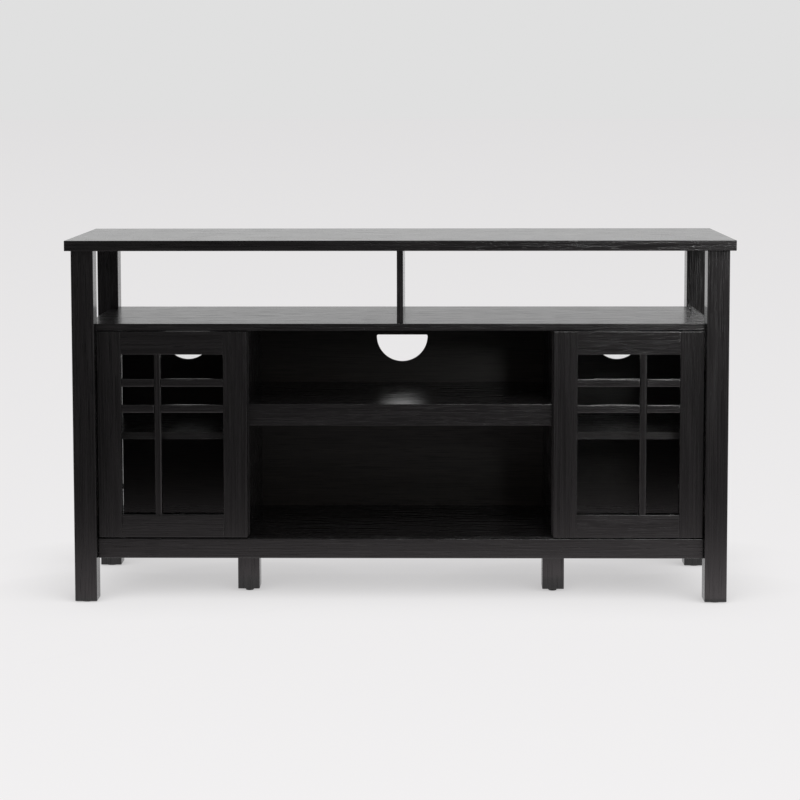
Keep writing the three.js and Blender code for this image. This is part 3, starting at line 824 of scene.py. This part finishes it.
def make_panel_nails():
    """The round heads of the nails that hold the back panels, along their sides and lower edge."""
    radius = 2.1 * MM
    profile = [(0, -0.2 * MM), (radius, -0.2 * MM), (radius, 0.25 * MM),
               (0.8 * radius, 0.55 * MM), (0, 0.6 * MM)]
    side_margin = 6 * MM
    end_margin = 14 * MM
    low_margin = 7.5 * MM
    rise = 6
    run = 4
    nails = bmesh.new()

    def drive(x, y, z):
        absorb(nails, lathe_solid(profile, BACK, (x, y, z), segments=16))

    for bay in BAYS:
        low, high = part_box(f"back_panel_{bay}")
        for x in (low.x + side_margin, high.x - side_margin):
            for i in range(rise):
                z = low.z + end_margin + (high.z - low.z - 2 * end_margin) * i / (rise - 1)
                drive(x, high.y, z + random.uniform(-3, 3) * MM)
        for i in range(1, run):
            drive(low.x + (high.x - low.x) * i / run, high.y, low.z + low_margin)
    make_piece("back_panel_nails", nails, "cabinet", ZINC)


def make_cam_covers():
    """Push-in caps over the joining screws, under the bottom panel."""
    radius = 6 * MM
    profile = [(0, -0.5 * MM), (radius, -0.5 * MM), (radius, 0.5 * MM), (0.9 * radius, 0.9 * MM),
               (0.3 * radius, 1.1 * MM), (0, 1.1 * MM)]
    from_front = 120 * MM
    from_back = 40 * MM
    from_end = 28 * MM
    caps = bmesh.new()
    low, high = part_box("bottom_panel")
    for side, sign in SIDES.items():
        part_low, part_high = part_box(f"partition_{side}")
        for y in (low.y + from_front, high.y - from_back):
            for x in ((part_low.x + part_high.x) / 2, sign * (high.x - from_end)):
                absorb(caps, lathe_solid(profile, DOWN, (x, y, low.z), segments=28))
    make_piece("cam_covers", caps, "cabinet", PLASTIC)


make_carcass()
make_supports()
make_doors()
make_hinge_screws()
for row in ("front", "back"):
    for side in SIDES:
        dress_cad(f"glide_{row}_{side}", PLASTIC, radius=0.2 * MM)
for side, sign in SIDES.items():
    make_catch(side, sign)
    make_strike_screws(side)
    make_glass_clips(side)
    make_bumpers(side)
    make_shelf_pins(side)
make_panel_nails()
make_cam_covers()


# ---- Stage -----------------------------------------------------------------------------------

# The floor glows as bright as the backdrop far away, and a little brighter towards the front.
BACKDROP_LEVEL = 0.745
FLOOR_REACH = 120.0
FLOOR_FRONT = -1.4
FLOOR_FALLOFF = 5.0
FLOOR_GAIN = 0.14
FLOOR_PAINT = 0.012
FLOOR_TINT = (1.0, 0.987, 0.993, 1.0)

# Painted shadow: ambient occlusion darkens the floor's glow, a share from all round and a larger
# one looking low over the front.
OVERHEAD_PAINTED_SHADE = 0.18
OVERHEAD_DISTANCE = 0.2
FRONT_PAINTED_SHADE = 0.7
FRONT_DISTANCE = 0.25
FRONT_DIRECTION = (0.2, -1.0, 0.05)

# The dark cards that paint reflections: their edges, and how the lying one's painted reflection
# darkens
# # forwards and is painted brighter towards the right, where the lamps stand.
PAINTED_REFLECTION_TINT = (1.0, 0.91, 0.935, 1.0)
FLAG_LEFT = -16
FLAG_FRONT = -6.5
FLAG_TOP = 12.0
UPRIGHT_FLAG_RIGHT = 2.0
LYING_FLAG_RIGHT = 2.6
LYING_FLAG_BACK = -0.22
LYING_FLAG_HEIGHT = 0.002
FADE_POWER = 1.4
PAINTED_LAMPLIGHT_ENDS = (-0.7, 0.9)
PAINTED_LAMPLIGHT_STRENGTHS = (0.85, 1.45)


def stage_plane(name, corners, material):
    mesh = bpy.data.meshes.new(name)
    mesh.from_pydata(corners, [], [(0, 1, 2, 3)])
    mesh.materials.append(material)
    plane = bpy.data.objects.new(name, mesh)
    bpy.context.scene.collection.objects.link(plane)
    return plane


def make_floor():
    """A very large pale floor. It glows softly, less with distance, and a painted shadow darkens
    its glow where something stands or hangs close over it."""
    material = new_material("pale_floor")
    tree = material.node_tree
    place = add_node(tree, "ShaderNodeSeparateXYZ", {0: object_coordinates(tree)})
    depth = remap(tree, place.outputs["Y"], FLOOR_FRONT, FLOOR_REACH, 1.0,
                  1.0 + (FLOOR_REACH - FLOOR_FRONT) / FLOOR_FALLOFF)
    glow = maths(tree, "DIVIDE", FLOOR_GAIN, depth)
    glow = maths(tree, "ADD", glow, BACKDROP_LEVEL * (1 - FLOOR_PAINT))

    ahead = add_node(tree, "ShaderNodeCombineXYZ", dict(zip("XYZ", FRONT_DIRECTION)))
    overhead = add_node(tree, "ShaderNodeAmbientOcclusion", {"Distance": OVERHEAD_DISTANCE},
                        samples=16)
    front = add_node(tree, "ShaderNodeAmbientOcclusion", {
        "Distance": FRONT_DISTANCE, "Normal": ahead.outputs[0]}, samples=24)
    # Painted shadow: the occlusion darkens the floor's glow under and around what stands on it.
    shade = remap(tree, overhead.outputs["AO"], 0.0, 1.0, 1.0 - FRONT_PAINTED_SHADE - OVERHEAD_PAINTED_SHADE,
                  1.0 - FRONT_PAINTED_SHADE)
    shade = maths(tree, "ADD", shade, maths(tree, "MULTIPLY", front.outputs["AO"], FRONT_PAINTED_SHADE))
    glow = maths(tree, "MULTIPLY", glow, shade)

    paint = add_node(tree, "ShaderNodeBsdfDiffuse", {"Color": (*[FLOOR_PAINT] * 3, 1.0)})
    light = add_node(tree, "ShaderNodeEmission", {"Color": FLOOR_TINT, "Strength": glow})
    both = add_node(tree, "ShaderNodeAddShader", {0: paint.outputs[0], 1: light.outputs[0]})
    output_shader(tree, both.outputs[0])

    reach = FLOOR_REACH
    stage_plane("floor", [(-reach, -reach, 0), (reach, -reach, 0), (reach, reach, 0),
                          (-reach, reach, 0)], material)


def make_painted_reflection(name, corners, level, fade=0.0):
    """A dark card that shows only in glossy reflections, where it paints a dark reflection; it
    casts no shadow and lights nothing. With a fade, the card paints a reflection as bright as the
    floor where it starts, which darkens forwards and is painted brighter towards the right, where
    the lamps stand."""
    material = new_material(name)
    tree = material.node_tree
    light = add_node(tree, "ShaderNodeEmission", {"Color": PAINTED_REFLECTION_TINT, "Strength": level})
    if fade:
        place = add_node(tree, "ShaderNodeSeparateXYZ", {0: object_coordinates(tree)})
        start = max(corner[Y] for corner in corners)
        ahead = maths(tree, "SUBTRACT", start, place.outputs["Y"])
        ahead = maths(tree, "MAXIMUM", maths(tree, "DIVIDE", ahead, fade), 0.0)
        falloff = maths(tree, "POWER", ahead, FADE_POWER)
        share = maths(tree, "EXPONENT", maths(tree, "MULTIPLY", falloff, -1.0))
        lean = remap(tree, place.outputs["X"], *PAINTED_LAMPLIGHT_ENDS, *PAINTED_LAMPLIGHT_STRENGTHS)
        strength = maths(tree, "MULTIPLY", share, lean)
        tree.links.new(maths(tree, "ADD", strength, level), light.inputs["Strength"])
    output_shader(tree, light.outputs[0])
    flag = stage_plane(name, corners, material)
    flag.visible_camera = False
    flag.visible_diffuse = False
    flag.visible_shadow = False


def make_painted_reflections():
    # Painted reflections: an upright dark card far ahead, and a lying one on the floor in front.
    make_painted_reflection("front_painted_reflection", [(FLAG_LEFT, FLAG_FRONT, 0.0), (UPRIGHT_FLAG_RIGHT, FLAG_FRONT, 0.0),
                             (UPRIGHT_FLAG_RIGHT, FLAG_FRONT, FLAG_TOP),
                             (FLAG_LEFT, FLAG_FRONT, FLAG_TOP)], level=0.006)
    make_painted_reflection("floor_painted_reflection", [(FLAG_LEFT, FLAG_FRONT, LYING_FLAG_HEIGHT),
                             (LYING_FLAG_RIGHT, FLAG_FRONT, LYING_FLAG_HEIGHT),
                             (LYING_FLAG_RIGHT, LYING_FLAG_BACK, LYING_FLAG_HEIGHT),
                             (FLAG_LEFT, LYING_FLAG_BACK, LYING_FLAG_HEIGHT)],
              level=0.004, fade=0.5)


# ---- Lights and camera -----------------------------------------------------------------------

def add_area_light(name, place, target, size, watts, spread=180):
    data = bpy.data.lights.new(name, "AREA")
    data.shape = "RECTANGLE"
    data.size, data.size_y = size
    data.energy = watts
    data.spread = math.radians(spread)
    lamp = bpy.data.objects.new(name, data)
    bpy.context.scene.collection.objects.link(lamp)
    lamp.location = place
    lamp.visible_camera = False
    lamp.visible_transmission = False
    lamp.rotation_euler = (Vector(target) - Vector(place)).to_track_quat("-Z", "Y").to_euler()
    return lamp


def light_studio():
    world = bpy.data.worlds.new("studio")
    bpy.context.scene.world = world
    world.use_nodes = True
    background = world.node_tree.nodes["Background"]
    background.inputs["Color"].default_value = WHITE
    background.inputs["Strength"].default_value = BACKDROP_LEVEL
    make_floor()
    make_painted_reflections()
    add_area_light("high_softbox", place=(0.95, -1.7, 2.4), target=(0.85, -0.2, 0.75),
                   size=(1.5, 0.7), watts=3.6, spread=42)
    add_area_light("front_softbox", place=(1.3, -3.2, 1.5), target=(0.85, -0.19, 1.0),
                   size=(0.7, 0.7), watts=1.9, spread=28)
    fill = add_area_light("front_fill", place=(-0.4, -4.2, 1.7), target=(0.0, 0.0, 0.35),
                          size=(1.6, 1.2), watts=15)
    fill.visible_glossy = False
    bpy.context.scene.view_settings.view_transform = "Standard"


CAMERA_PLACE = (0.0579, -4.3775, 0.996)
CAMERA_TURN_DEGREES = (85.442, 0.093, 0.777)
LENS_MM = 95.97
SENSOR_WIDTH_MM = 36.0
SHIFT_UP = -0.16
FARTHEST_SEEN = 500.0


def place_camera():
    data = bpy.data.cameras.new("camera")
    data.lens = LENS_MM
    data.sensor_width = SENSOR_WIDTH_MM
    data.shift_y = SHIFT_UP
    data.clip_end = FARTHEST_SEEN
    camera = bpy.data.objects.new("camera", data)
    bpy.context.scene.collection.objects.link(camera)
    camera.location = CAMERA_PLACE
    camera.rotation_euler = [math.radians(turn) for turn in CAMERA_TURN_DEGREES]
    bpy.context.scene.camera = camera


light_studio()
place_camera()
